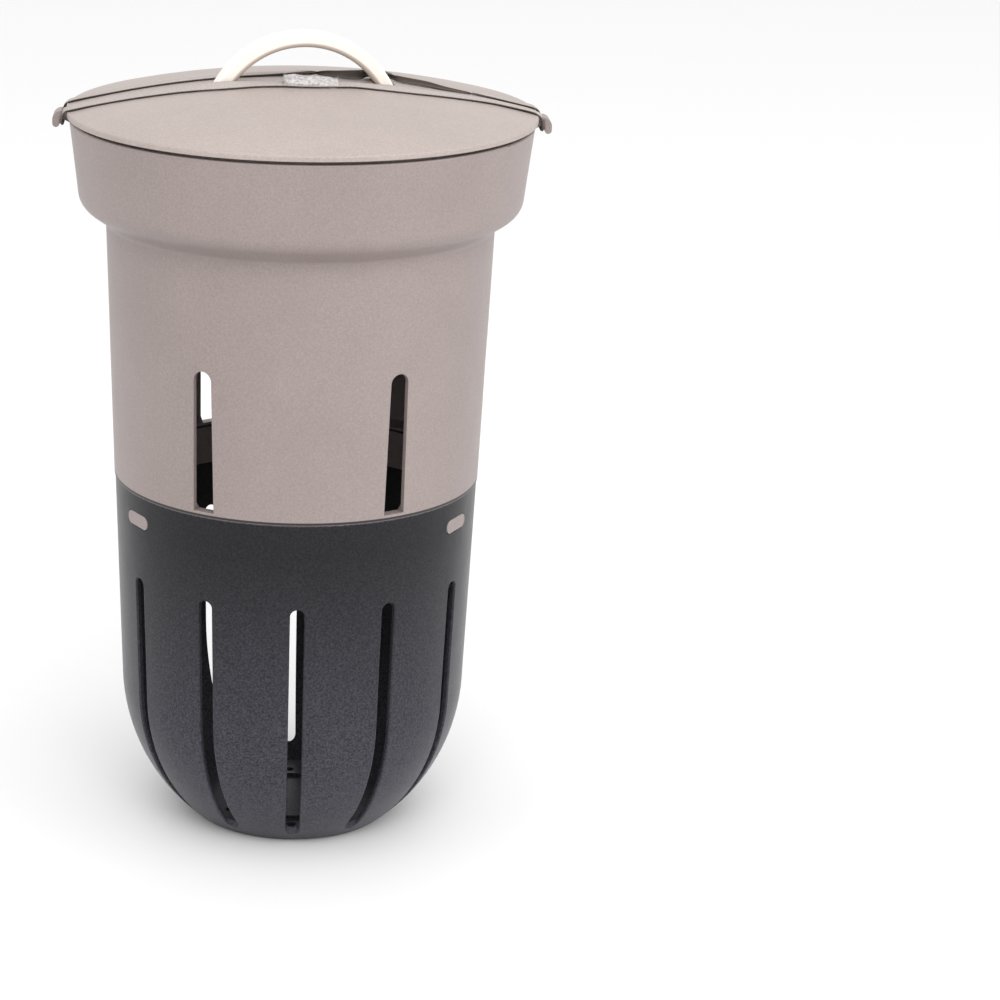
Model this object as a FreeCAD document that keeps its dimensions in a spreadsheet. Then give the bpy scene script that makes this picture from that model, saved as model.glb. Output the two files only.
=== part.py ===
import FreeCAD, Part
import math
import os
import re
import Sketcher

# In-ground wormery: a slotted basket with a bowl-shaped bottom, a slotted upper body with a
# flared collar, a domed lid with a bent wooden handle, and an elastic band that holds the lid.
# Millimetres, +Z up, the photographed front faces -Y, the origin is the middle of the floor.

SIZES = {
    # lower basket
    "joint_height": 220.0,
    "basket_radius": 110.5,
    "basket_wall": 3.0,
    "wall_slope": 0.035,
    "bowl_height": 89.0,
    "bowl_arc": 118.0,
    "floor_thickness": 3.0,
    "rib_slots": 12,
    "rib_slot_width": 8.4,
    "rib_slot_drop": 53.0,
    "rib_slot_end": 69.5,
    "drain_holes": 6,
    "drain_ring": 44.0,
    "drain_diameter": 6.0,
    "floor_ring_radius": 34.0,
    "floor_ring_width": 2.4,
    "floor_ring_rise": 2.0,
    "floor_edge_round": 3.0,
    "slot_edge_round": 1.2,
    # snap joint between the two halves
    "snap_count": 3,
    "snap_length": 24.0,
    "snap_window": 9.0,
    "snap_drop": 15.8,
    "snap_gap": 0.4,
    "skirt_depth": 23.5,
    "skirt_wall": 2.6,
    "skirt_gap": 0.3,
    # upper body
    "joint_step": 0.5,
    "body_wall": 3.0,
    "body_slope": 0.0325,
    "shoulder_rise": 10.7,
    "collar_overhang": 15.7,
    "collar_depth": 49.6,
    "collar_flare": 5.8,
    "collar_round": 12.3,
    "neck_round": 4.5,
    "rim_height": 437.3,
    "rim_round": 0.9,
    "side_slots": 6,
    "side_slot_top_width": 11.6,
    "side_slot_foot_width": 13.4,
    "side_slot_height": 88.5,
    "side_slot_sill": 3.2,
    # band hooks on the rim
    "hook_reach": 9.7,
    "hook_thickness": 4.2,
    "hook_rise": 3.6,
    "hook_drop": 6.0,
    "hook_breadth": 13.5,
    "hook_root": 3.6,
    # lid
    "lid_gap": 2.2,
    "lid_overhang": 1.7,
    "lid_rise": 21.0,
    "lid_wall": 3.0,
    "lip_height": 3.2,
    "lip_round": 1.3,
    "lip_width": 2.6,
    "plug_depth": 8.0,
    "plug_wall": 2.0,
    "plug_setback": 3.6,
    "centring_ribs": 6,
    "centring_rib_width": 2.4,
    "centring_rib_height": 4.0,
    "centring_gap": 0.05,
    # bent wooden handle
    "handle_radius": 60.2,
    "handle_thickness": 8.8,
    "handle_depth": 15.0,
    "handle_rise": 28.6,
    "handle_angle": 8.0,
    "handle_inner_round": 3.0,
    "handle_outer_round": 1.6,
    "foot_depth": 14.5,
    "foot_gap": 0.7,
    "socket_wall": 2.4,
    "socket_floor": 3.0,
    # handle screws
    "screw_inset": 9.6,
    "screw_diameter": 4.0,
    "screw_gap": 0.06,
    "screw_bite": 9.0,
    "screw_head": 8.4,
    "screw_head_height": 2.4,
    # elastic band
    "band_width": 11.0,
    "band_thickness": 1.2,
    "band_gap": 0.3,
    "band_end_width": 3.6,
    "band_end_thickness": 2.6,
    "band_end_height": 2.2,
    "band_bow": 13.5,
    "band_bow_place": 22.0,
    "band_bow_span": 46.0,
    "join_place": 3.8,
    "join_length": 31.0,
    "join_width": 13.0,
    "join_thickness": 3.2,
}

# Sizes that follow from others
DERIVED = {
    "bowl_top_radius": "basket_radius - wall_slope * (joint_height - bowl_height)",
    "slope_cos": "1 / sqrt(1 + wall_slope * wall_slope)",
    "bowl_centre_x": "bowl_top_radius - bowl_arc * slope_cos",
    "bowl_centre_z": "bowl_height + bowl_arc * wall_slope * slope_cos",
    "bowl_inner": "bowl_arc - basket_wall",
    "floor_radius": "bowl_centre_x + sqrt(bowl_arc * bowl_arc - bowl_centre_z * bowl_centre_z)",
    "floor_inner": "bowl_centre_x + sqrt(bowl_inner * bowl_inner"
                   " - (bowl_centre_z - floor_thickness) * (bowl_centre_z - floor_thickness))",
    "rib_slot_top": "joint_height - rib_slot_drop",
    "snap_height": "joint_height - snap_drop",
    "body_radius": "basket_radius + joint_step",
    "collar_height": "rim_height - collar_depth",
    "neck_height": "collar_height - shoulder_rise",
    "neck_radius": "body_radius + body_slope * (neck_height - joint_height)",
    "collar_radius": "neck_radius + collar_overhang",
    "rim_radius": "collar_radius + collar_flare",
    "cone_slope": "collar_flare / (collar_depth - body_wall)",
    "side_slot_top": "joint_height + side_slot_height",
    "hook_end": "rim_radius + hook_reach",
    "lid_radius": "rim_radius + lid_overhang",
    "lid_foot": "rim_height + lid_gap",
    "lid_top": "lid_foot + lid_rise",
    "lip_top": "lid_foot + lip_height",
    "dome_rise": "lid_rise - lip_height",
    "dome_radius": "(lid_radius * lid_radius + dome_rise * dome_rise) / (2 * dome_rise)",
    "dome_centre": "lid_top - dome_radius",
    "plug_radius": "rim_radius - body_wall - plug_setback",
    "plug_inner": "plug_radius - plug_wall",
    "plug_foot": "lid_foot - plug_depth",
    "lip_inner": "lid_radius - lip_width",
    "handle_inner": "handle_radius - handle_thickness",
    "handle_centre": "lid_top + handle_rise - handle_radius",
    "foot_end": "lid_top - foot_depth",
}

SHEET = "Sizes"
WORDS = re.compile("[a-z_]+")


def sized(text):
    """The expression with derived sizes written out and every size named by its cell."""
    def cell(match):
        word = match.group()
        if word in DERIVED:
            return "(" + sized(DERIVED[word]) + ")"
        return SHEET + "." + word if word in SIZES else word
    return WORDS.sub(cell, text)


def make_sheet(doc):
    sheet = doc.addObject("Spreadsheet::Sheet", SHEET)
    for row, (name, value) in enumerate(SIZES.items(), start=1):
        sheet.set("A%d" % row, name)
        sheet.set("B%d" % row, str(value))
        sheet.setAlias("B%d" % row, name)
    doc.recompute()
    return sheet


def value(doc, text):
    """The number that an expression of sizes gives."""
    result = doc.getObject(SHEET).evalExpression(sized(text))
    return float(getattr(result, "Value", result))


def origin_feature(body, role):
    for feature in body.Origin.OriginFeatures:
        if feature.Role == role:
            return feature
    raise ValueError("no " + role)


def new_body(doc, label):
    body = doc.addObject("PartDesign::Body", label)
    body.Label = label
    return body


def new_sketch(body, name, plane, offset=None):
    sketch = body.newObject("Sketcher::SketchObject", name)
    sketch.AttachmentSupport = (origin_feature(body, plane), [""])
    sketch.MapMode = "FlatFace"
    if offset:
        sketch.setExpression("AttachmentOffset.Base.z", sized(offset))
    return sketch


def place_point(sketch, geometry, end, x_text, y_text):
    """Hold one end of a line or arc at a place given by two expressions."""
    for kind, text in (("DistanceX", x_text), ("DistanceY", y_text)):
        amount = value(sketch.Document, text)
        index = sketch.addConstraint(
            Sketcher.Constraint(kind, -1, 1, geometry, end, amount))
        name = "%s_%d" % (kind, index)
        sketch.renameConstraint(index, name)
        sketch.setExpression("Constraints." + name, sized(text))


def draw_outline(sketch, points, arcs=None):
    """A closed outline through points; arcs maps a side's number to its centre's texts and turn."""
    doc = sketch.Document
    arcs = arcs or {}
    spots = [FreeCAD.Vector(value(doc, x), value(doc, y), 0) for x, y in points]
    count = len(points)
    for side in range(count):
        start, end = spots[side], spots[(side + 1) % count]
        if side in arcs:
            add_arc(sketch, start, end, *arcs[side])
        else:
            sketch.addGeometry(Part.LineSegment(start, end), False)
    for side in range(count):
        follower = (side + 1) % count
        here_end = 1 if arcs.get(side, (0, 0, "ccw"))[2] == "cw" else 2
        next_start = 2 if arcs.get(follower, (0, 0, "ccw"))[2] == "cw" else 1
        sketch.addConstraint(
            Sketcher.Constraint("Coincident", side, here_end, follower, next_start))
    for side, (x_text, y_text) in enumerate(points):
        start_end = 2 if arcs.get(side, (0, 0, "ccw"))[2] == "cw" else 1
        place_point(sketch, side, start_end, x_text, y_text)


def add_arc(sketch, start, end, x_text, y_text, turn):
    """An arc from start to end about the centre at two expressions."""
    doc = sketch.Document
    centre = FreeCAD.Vector(value(doc, x_text), value(doc, y_text), 0)
    if turn == "cw":
        start, end = end, start
    first = math.atan2(start.y - centre.y, start.x - centre.x)
    last = math.atan2(end.y - centre.y, end.x - centre.x)
    circle = Part.Circle(centre, FreeCAD.Vector(0, 0, 1), start.distanceToPoint(centre))
    side = sketch.addGeometry(Part.ArcOfCircle(circle, first, last), False)
    level = abs(start.x - end.x) > abs(start.y - end.y)
    kind, amount, text = ("DistanceY", centre.y, y_text) if level else ("DistanceX", centre.x, x_text)
    index = sketch.addConstraint(Sketcher.Constraint(kind, -1, 1, side, 3, amount))
    name = "Centre_%d" % index
    sketch.renameConstraint(index, name)
    sketch.setExpression("Constraints." + name, sized(text))


def draw_circle(sketch, x_text, y_text, radius_text):
    """A circle whose centre and radius follow expressions."""
    doc = sketch.Document
    centre = FreeCAD.Vector(value(doc, x_text), value(doc, y_text), 0)
    radius = value(doc, radius_text)
    sketch.addGeometry(Part.Circle(centre, FreeCAD.Vector(0, 0, 1), radius), False)
    place_point(sketch, 0, 3, x_text, y_text)
    index = sketch.addConstraint(Sketcher.Constraint("Radius", 0, radius))
    sketch.renameConstraint(index, "Radius")
    sketch.setExpression("Constraints.Radius", sized(radius_text))


def revolve(body, sketch, name):
    feature = body.newObject("PartDesign::Revolution", name)
    feature.Profile = sketch
    feature.ReferenceAxis = (sketch, ["V_Axis"])
    feature.Angle = 360.0
    body.Document.recompute()
    return feature


def cut_along(body, sketch, name, reach="hook_end", backwards=False):
    """A pocket from the sketch along its plane's normal; the volume shows that it cut."""
    before = body.Shape.Volume
    feature = body.newObject("PartDesign::Pocket", name)
    feature.Profile = sketch
    feature.setExpression("Length", sized(reach))
    feature.Reversed = not backwards
    body.Document.recompute()
    if body.Shape.Volume >= before - 1.0:
        raise ValueError(name + " cuts nothing")
    return feature


def add_pad(body, sketch, name, length, middle=False):
    feature = body.newObject("PartDesign::Pad", name)
    feature.Profile = sketch
    feature.setExpression("Length", sized(length))
    feature.Midplane = middle
    body.Document.recompute()
    return feature


def repeat_round(body, features, name, count):
    """Copies of features about the vertical axis."""
    pattern = body.newObject("PartDesign::PolarPattern", name)
    pattern.Originals = features
    pattern.Axis = (origin_feature(body, "Z_Axis"), [""])
    pattern.Angle = 360.0
    pattern.setExpression("Occurrences", sized(count))
    body.Tip = pattern
    body.Document.recompute()
    return pattern


def round_edges(body, name, radius, wanted):
    """Fillet every edge that wanted picks."""
    names = ["Edge%d" % number for number, edge in enumerate(body.Shape.Edges, start=1)
             if wanted(edge)]
    if not names:
        raise ValueError(name + " finds no edge")
    base = body.Tip
    feature = body.newObject("PartDesign::Fillet", name)
    feature.Base = (base, names)
    feature.setExpression("Radius", sized(radius))
    body.Tip = feature
    body.Document.recompute()
    return feature


def is_ring(edge, radius, height):
    """A full circle about the vertical axis, near a radius and a height."""
    if edge.Degenerated or not isinstance(edge.Curve, Part.Circle):
        return False
    curve = edge.Curve
    near = abs(curve.Radius - radius) < 0.05 and abs(curve.Center.z - height) < 0.05
    return near and math.hypot(curve.Center.x, curve.Center.y) < 0.05


def stadium(sketch, length, width, height):
    """A slot outline with round ends, lying along the sketch's first axis at a height."""
    half = "(%s - %s) / 2" % (length, width)
    low = "%s - (%s) / 2" % (height, width)
    high = "%s + (%s) / 2" % (height, width)
    points = [("-" + half, low), (half, low), (half, high), ("-" + half, high)]
    arcs = {1: (half, height, "ccw"), 3: ("-" + half, height, "ccw")}
    draw_outline(sketch, points, arcs)


def dome_height(radius, drop):
    """The height of the lid's dome at a radius, on the surface that lies drop below the outer one."""
    return "(dome_centre + sqrt((dome_radius - %s) * (dome_radius - %s) - %s * %s))" % (
        drop, drop, radius, radius)


def make_basket(doc):
    """Anthracite basket: straight upper wall, bowl, flat floor, slots, snap windows and drains."""
    body = new_body(doc, "lower_basket")
    profile = new_sketch(body, "BasketProfile", "XZ_Plane")
    ring_outer = "floor_ring_radius + floor_ring_width / 2"
    ring_inner = "floor_ring_radius - floor_ring_width / 2"
    ring_top = "floor_thickness + floor_ring_rise"
    draw_outline(profile, [
        ("0", "0"),
        ("floor_radius", "0"),
        ("bowl_top_radius", "bowl_height"),
        ("basket_radius", "joint_height"),
        ("basket_radius - basket_wall", "joint_height"),
        ("bowl_top_radius - basket_wall", "bowl_height"),
        ("floor_inner", "floor_thickness"),
        (ring_outer, "floor_thickness"),
        (ring_outer, ring_top),
        (ring_inner, ring_top),
        (ring_inner, "floor_thickness"),
        ("0", "floor_thickness"),
    ], {1: ("bowl_centre_x", "bowl_centre_z", "ccw"), 5: ("bowl_centre_x", "bowl_centre_z", "cw")})
    revolve(body, profile, "BasketShell")
    floor_radius = value(doc, "floor_radius")
    round_edges(body, "FloorEdge", "floor_edge_round",
                lambda edge: is_ring(edge, floor_radius, 0.0))
    cut_basket_slots(body)
    cut_snap_windows(body)
    cut_drains(body)
    return body


def cut_basket_slots(body):
    """Tall slots that run down the wall and round the bowl, round at both ends."""
    side = new_sketch(body, "SlotSide", "YZ_Plane", "rib_slot_end + rib_slot_width / 2")
    half = "rib_slot_width / 2"
    shoulder = "rib_slot_top - rib_slot_width / 2"
    draw_outline(side, [
        ("-" + half, "-floor_thickness"),
        (half, "-floor_thickness"),
        (half, shoulder),
        ("-" + half, shoulder),
    ], {2: ("0", shoulder, "ccw")})
    tall = cut_along(body, side, "SlotCut")
    end = new_sketch(body, "SlotEnd", "XY_Plane")
    draw_circle(end, "rib_slot_end + rib_slot_width / 2", "0", half)
    foot = cut_along(body, end, "SlotEndCut", "bowl_height")
    repeat_round(body, [tall, foot], "Slots", "rib_slots")
    round_edges(body, "SlotEdges", "slot_edge_round", outer_slot_edges(body.Document))


def outer_slot_edges(doc):
    """Picks the slots' edges on the basket's outer face."""
    top_radius = value(doc, "bowl_top_radius")
    top = value(doc, "bowl_height")
    slope = value(doc, "wall_slope")
    arc = value(doc, "bowl_arc")
    centre_x = value(doc, "bowl_centre_x")
    centre_z = value(doc, "bowl_centre_z")

    def outer_radius(z):
        if z > top:
            return top_radius + slope * (z - top)
        return centre_x + math.sqrt(arc ** 2 - (centre_z - z) ** 2)

    def wanted(edge):
        if edge.Degenerated or edge.BoundBox.ZLength < 0.1 or edge.BoundBox.YLength < 0.01:
            return False
        spots = edge.discretize(5)
        return all(abs(math.hypot(spot.x, spot.y) - outer_radius(spot.z)) < 0.02 for spot in spots)

    return wanted


def cut_snap_windows(body):
    """Oval windows in the rim for the upper body's nubs."""
    sketch = new_sketch(body, "WindowOutline", "XZ_Plane")
    stadium(sketch, "snap_length", "snap_window", "snap_height")
    window = cut_along(body, sketch, "WindowCut", backwards=True)
    repeat_round(body, [window], "Windows", "snap_count")


def cut_drains(body):
    """Round drain holes in the floor."""
    sketch = new_sketch(body, "DrainOutline", "XY_Plane")
    draw_circle(sketch, "0", "-drain_ring", "drain_diameter / 2")
    drain = cut_along(body, sketch, "DrainCut", "2 * floor_thickness")
    repeat_round(body, [drain], "Drains", "drain_holes")


def make_upper_body(doc):
    """Taupe body: skirt inside the basket's rim, slotted wall, flared collar, snap nubs, hooks."""
    body = new_body(doc, "upper_body")
    skirt_top = "(basket_radius - basket_wall - skirt_gap)"
    skirt_foot = "(" + skirt_top + " - wall_slope * skirt_depth)"
    profile = new_sketch(body, "BodyProfile", "XZ_Plane")
    draw_outline(profile, [
        (skirt_foot, "joint_height - skirt_depth"),
        (skirt_top, "joint_height"),
        ("body_radius", "joint_height"),
        ("neck_radius", "neck_height"),
        ("collar_radius", "collar_height"),
        ("rim_radius", "rim_height"),
        ("rim_radius - body_wall", "rim_height"),
        ("collar_radius - body_wall", "collar_height + body_wall"),
        ("neck_radius - body_wall", "neck_height + body_wall * 0.7"),
        ("body_radius - body_wall", "joint_height + 2.4 * body_wall"),
        (skirt_top + " - skirt_wall", "joint_height + body_wall"),
        (skirt_foot + " - skirt_wall", "joint_height - skirt_depth"),
    ])
    revolve(body, profile, "BodyShell")
    round_collar(body)
    cut_side_slots(body)
    add_snap_nubs(body)
    add_hooks(body)
    return body


def round_collar(body):
    """The collar's shoulder, its crease at the neck and the rim's edge."""
    doc = body.Document
    shoulder = value(doc, "collar_radius")
    shoulder_height = value(doc, "collar_height")
    round_edges(body, "Shoulder", "collar_round",
                lambda edge: is_ring(edge, shoulder, shoulder_height))
    inner = value(doc, "collar_radius - body_wall")
    inner_height = value(doc, "collar_height + body_wall")
    round_edges(body, "InnerShoulder", "collar_round - body_wall",
                lambda edge: is_ring(edge, inner, inner_height))
    neck = value(doc, "neck_radius")
    neck_height = value(doc, "neck_height")
    round_edges(body, "Neck", "neck_round", lambda edge: is_ring(edge, neck, neck_height))
    rim = value(doc, "rim_radius")
    rim_height = value(doc, "rim_height")
    round_edges(body, "Rim", "rim_round", lambda edge: is_ring(edge, rim, rim_height))


def cut_side_slots(body):
    """Slots with a round top and a square foot, a little wider at the foot."""
    foot = "joint_height + side_slot_sill"
    shoulder = "side_slot_top - side_slot_top_width / 2"
    sketch = new_sketch(body, "SideSlotOutline", "YZ_Plane")
    draw_outline(sketch, [
        ("-side_slot_foot_width / 2", foot),
        ("side_slot_foot_width / 2", foot),
        ("side_slot_top_width / 2", shoulder),
        ("-side_slot_top_width / 2", shoulder),
    ], {2: ("0", shoulder, "ccw")})
    slot = cut_along(body, sketch, "SideSlotCut")
    repeat_round(body, [slot], "SideSlots", "side_slots")


def add_snap_nubs(body):
    """Oval nubs that fill the basket's windows, nearly flush with its wall."""
    sketch = new_sketch(body, "NubOutline", "XZ_Plane", None)
    stadium(sketch, "(snap_length - 2 * snap_gap)", "(snap_window - 2 * snap_gap)", "snap_height")
    face = "basket_radius - wall_slope * snap_drop - 0.5 * snap_gap"
    root = "basket_radius - basket_wall - skirt_gap - skirt_wall / 2 - wall_slope * skirt_depth"
    sketch.setExpression("AttachmentOffset.Base.z", sized("-(" + root + ")"))
    nub = add_pad(body, sketch, "Nub", face + " - (" + root + ")")
    nub.Reversed = True
    body.Document.recompute()
    repeat_round(body, [nub], "Nubs", "snap_count")


def add_hooks(body):
    """Broad down-turned hooks on the rim for the elastic band."""
    reach = "hook_end"
    top = "(rim_height + hook_rise)"
    wall_foot = "(rim_height - hook_root)"
    inside = "(rim_radius - body_wall / 2)"
    inner_x = "(" + reach + " - hook_thickness)"
    inner_top = "(" + top + " - hook_thickness)"
    bend = "(hook_thickness + 1)"
    tip = "(rim_height - hook_drop)"
    sketch = new_sketch(body, "HookOutline", "XZ_Plane")
    draw_outline(sketch, [
        (inside, "rim_height - rim_round / 3"),
        ("lid_radius + lid_overhang / 3", "rim_height + lid_gap / 2"),
        (reach + " - " + bend, top),
        (reach, top + " - " + bend),
        (reach, tip + " + hook_thickness / 2"),
        (inner_x, tip + " + hook_thickness / 2"),
        (inner_x, inner_top + " - 1"),
        (inner_x + " - 1", inner_top),
        (inside, wall_foot),
    ], {2: (reach + " - " + bend, top + " - " + bend, "cw"),
        4: (reach + " - hook_thickness / 2", tip + " + hook_thickness / 2", "cw"),
        6: (inner_x + " - 1", inner_top + " - 1", "ccw")})
    hook = add_pad(body, sketch, "Hook", "hook_breadth", True)
    repeat_round(body, [hook], "Hooks", "2")


def make_lid(doc):
    """Domed lid: turned-down lip, plug ring, and two sockets for the handle's feet."""
    shell = new_body(doc, "LidShell")
    profile = new_sketch(shell, "LidProfile", "XZ_Plane")
    draw_outline(profile, [
        ("0", dome_height("0", "0")),
        ("0", dome_height("0", "lid_wall")),
        ("plug_inner", dome_height("plug_inner", "lid_wall")),
        ("plug_inner", "plug_foot"),
        ("plug_radius", "plug_foot"),
        ("plug_radius", dome_height("plug_radius", "lid_wall")),
        ("lip_inner", dome_height("lip_inner", "lid_wall")),
        ("lip_inner", "lid_foot"),
        ("lid_radius", "lid_foot"),
        ("lid_radius", "lip_top"),
    ], {1: ("0", "dome_centre", "cw"), 9: ("0", "dome_centre", "ccw")})
    revolve(shell, profile, "LidDome")
    edge = value(doc, "lid_radius")
    edge_height = value(doc, "lip_top")
    round_edges(shell, "LipEdge", "lip_round", lambda item: is_ring(item, edge, edge_height))
    add_centring_ribs(shell)
    return cut_sockets(doc, shell)


def add_centring_ribs(shell):
    """Ribs on the plug ring that seat in the collar's cone and carry the lid."""
    root = "plug_radius - plug_wall / 2"
    rib_top = "plug_foot + centring_rib_height"
    seat = "rim_radius - body_wall - centring_gap - cone_slope * (rim_height - %s)"
    sketch = new_sketch(shell, "CentringRibOutline", "XZ_Plane")
    draw_outline(sketch, [
        (root, "plug_foot"),
        (seat % "plug_foot", "plug_foot"),
        (seat % ("(" + rib_top + ")"), rib_top),
        (root, rib_top),
    ])
    rib = add_pad(shell, sketch, "CentringRib", "centring_rib_width", True)
    repeat_round(shell, [rib], "CentringRibs", "centring_ribs")


def turned(doc, base_z):
    """The placement of a ring whose axis is level and square to the handle's arch."""
    turn = value(doc, "handle_angle")
    rotation = FreeCAD.Rotation(turn, 0, 90)
    return FreeCAD.Placement(FreeCAD.Vector(0, 0, value(doc, base_z)), rotation)


def arch_ring(doc, name, outer, inner, depth):
    """A ring that follows the handle's arch, centred on the lid's axis."""
    rings = []
    for part, radius in (("Outer", outer), ("Inner", inner)):
        ring = doc.addObject("Part::Cylinder", name + part)
        ring.setExpression("Radius", sized(radius))
        ring.setExpression("Height", sized(depth))
        place = turned(doc, "handle_centre")
        middle = place.Rotation.multVec(FreeCAD.Vector(0, 0, -value(doc, depth) / 2))
        ring.Placement = FreeCAD.Placement(place.Base + middle, place.Rotation)
        rings.append(ring)
    cut = doc.addObject("Part::Cut", name)
    cut.Base, cut.Tool = rings
    return cut


def layer(doc, name, low, high):
    """A flat layer, wider than the handle, between two heights."""
    disc = doc.addObject("Part::Cylinder", name)
    disc.setExpression("Radius", sized("2 * handle_radius"))
    disc.setExpression("Height", sized("(%s) - (%s)" % (high, low)))
    disc.setExpression("Placement.Base.z", sized(low))
    return disc


def common(doc, name, pieces):
    both = doc.addObject("Part::MultiCommon", name)
    both.Shapes = pieces
    return both


def cut_sockets(doc, shell):
    """Two closed sockets hang below the dome, and the feet's slots pass through it into them."""
    wall = "(foot_gap + socket_wall)"
    outer = "handle_radius + " + wall
    inner = "handle_inner - " + wall
    under = dome_height("handle_radius", "lid_wall / 2")
    block = arch_ring(doc, "SocketRing", outer, inner, "handle_depth + 2 * " + wall)
    blocks = common(doc, "SocketBlocks", [
        block, layer(doc, "SocketLayer", "foot_end - socket_floor", under)])
    filled = doc.addObject("Part::MultiFuse", "LidWithSockets")
    filled.Shapes = [shell, blocks]
    room = arch_ring(doc, "FootRing", "handle_radius + foot_gap",
                     "handle_inner - foot_gap", "handle_depth + 2 * foot_gap")
    rooms = common(doc, "FootRooms", [
        room, layer(doc, "FootLayer", "foot_end", "lid_top + handle_rise")])
    open_lid = doc.addObject("Part::Cut", "LidWithSlots")
    open_lid.Base, open_lid.Tool = filled, rooms
    holes = screw_bodies(doc, "ScrewHole", "screw_diameter + 2 * screw_gap")
    lid = doc.addObject("Part::Cut", "lid")
    lid.Label = "lid"
    lid.Base, lid.Tool = open_lid, holes
    doc.recompute()
    return lid


def screw_spots(doc):
    """Where the two screws stand, under the feet."""
    reach = value(doc, "handle_radius - screw_inset")
    turn = math.radians(value(doc, "handle_angle"))
    return [FreeCAD.Vector(side * reach * math.cos(turn), side * reach * math.sin(turn), 0)
            for side in (-1, 1)]


def screw_bodies(doc, name, diameter):
    """Two upright rods through the socket floors into the feet."""
    rods = []
    for number, spot in enumerate(screw_spots(doc)):
        rod = doc.addObject("Part::Cylinder", "%s%d" % (name, number))
        rod.setExpression("Radius", sized("(" + diameter + ") / 2"))
        rod.setExpression("Height", sized("socket_floor + screw_bite"))
        rod.Placement = FreeCAD.Placement(spot, FreeCAD.Rotation())
        rod.setExpression("Placement.Base.z", sized("foot_end - socket_floor"))
        rods.append(rod)
    both = doc.addObject("Part::MultiFuse", name + "s")
    both.Shapes = rods
    return both


def make_handle(doc):
    """Bent strip of light wood, an arch whose feet reach into the lid's sockets."""
    body = new_body(doc, "HandleArch")
    rise = "(foot_end - handle_centre)"
    outer_x = "sqrt(handle_radius * handle_radius - %s * %s)" % (rise, rise)
    inner_x = "sqrt(handle_inner * handle_inner - %s * %s)" % (rise, rise)
    sketch = new_sketch(body, "ArchOutline", "XZ_Plane")
    draw_outline(sketch, [
        (outer_x, "foot_end"),
        ("-" + outer_x, "foot_end"),
        ("-" + inner_x, "foot_end"),
        (inner_x, "foot_end"),
    ], {0: ("0", "handle_centre", "ccw"), 2: ("0", "handle_centre", "cw")})
    add_pad(body, sketch, "Strip", "handle_depth", True)
    bend = value(doc, "handle_radius")
    inner_bend = value(doc, "handle_inner")
    round_edges(body, "OuterEdges", "handle_outer_round",
                lambda edge: isinstance(edge.Curve, Part.Circle)
                and abs(edge.Curve.Radius - bend) < 0.01)
    round_edges(body, "InnerEdges", "handle_inner_round",
                lambda edge: isinstance(edge.Curve, Part.Circle)
                and abs(edge.Curve.Radius - inner_bend) < 0.01)
    turn = FreeCAD.Rotation(value(doc, "handle_angle"), 0, 0)
    body.Placement = FreeCAD.Placement(FreeCAD.Vector(0, 0, 0), turn)
    handle = doc.addObject("Part::Cut", "handle")
    handle.Label = "handle"
    handle.Base = body
    handle.Tool = screw_bodies(doc, "PilotHole", "screw_diameter + 2 * screw_gap")
    doc.recompute()
    return handle


def make_screws(doc):
    """Two pan-head screws that hold the feet from below."""
    shanks = screw_bodies(doc, "ScrewShank", "screw_diameter")
    heads = []
    for number, spot in enumerate(screw_spots(doc)):
        head = doc.addObject("Part::Cone", "ScrewHead%d" % number)
        head.setExpression("Radius1", sized("screw_head / 2 - screw_head_height / 3"))
        head.setExpression("Radius2", sized("screw_head / 2"))
        head.setExpression("Height", sized("screw_head_height"))
        head.Placement = FreeCAD.Placement(spot, FreeCAD.Rotation())
        head.setExpression("Placement.Base.z",
                           sized("foot_end - socket_floor - screw_head_height"))
        heads.append(head)
    screws = doc.addObject("Part::MultiFuse", "handle_screws")
    screws.Label = "handle_screws"
    screws.Shapes = [shanks] + heads
    doc.recompute()
    return screws


def strap_section(centre, across, through):
    """A rectangle about centre from its half width and half thickness vectors."""
    corners = [centre + across + through, centre - across + through,
               centre - across - through, centre + across - through]
    return Part.makePolygon(corners + corners[:1])


def beside_hook(doc):
    """How far to the side the band passes a hook."""
    return value(doc, "hook_breadth / 2 + band_gap + band_end_width / 2")


def strand_spread(doc, x):
    """How far along its bow the front strand is at x: 0 is the middle of the bow."""
    return (x + value(doc, "band_bow_place")) / value(doc, "band_bow_span")


def strand_y(doc, x):
    """The front strand bows out round the handle's left foot."""
    bow = value(doc, "band_bow") * math.exp(-strand_spread(doc, x) ** 4)
    return -(beside_hook(doc) + bow)


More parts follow.
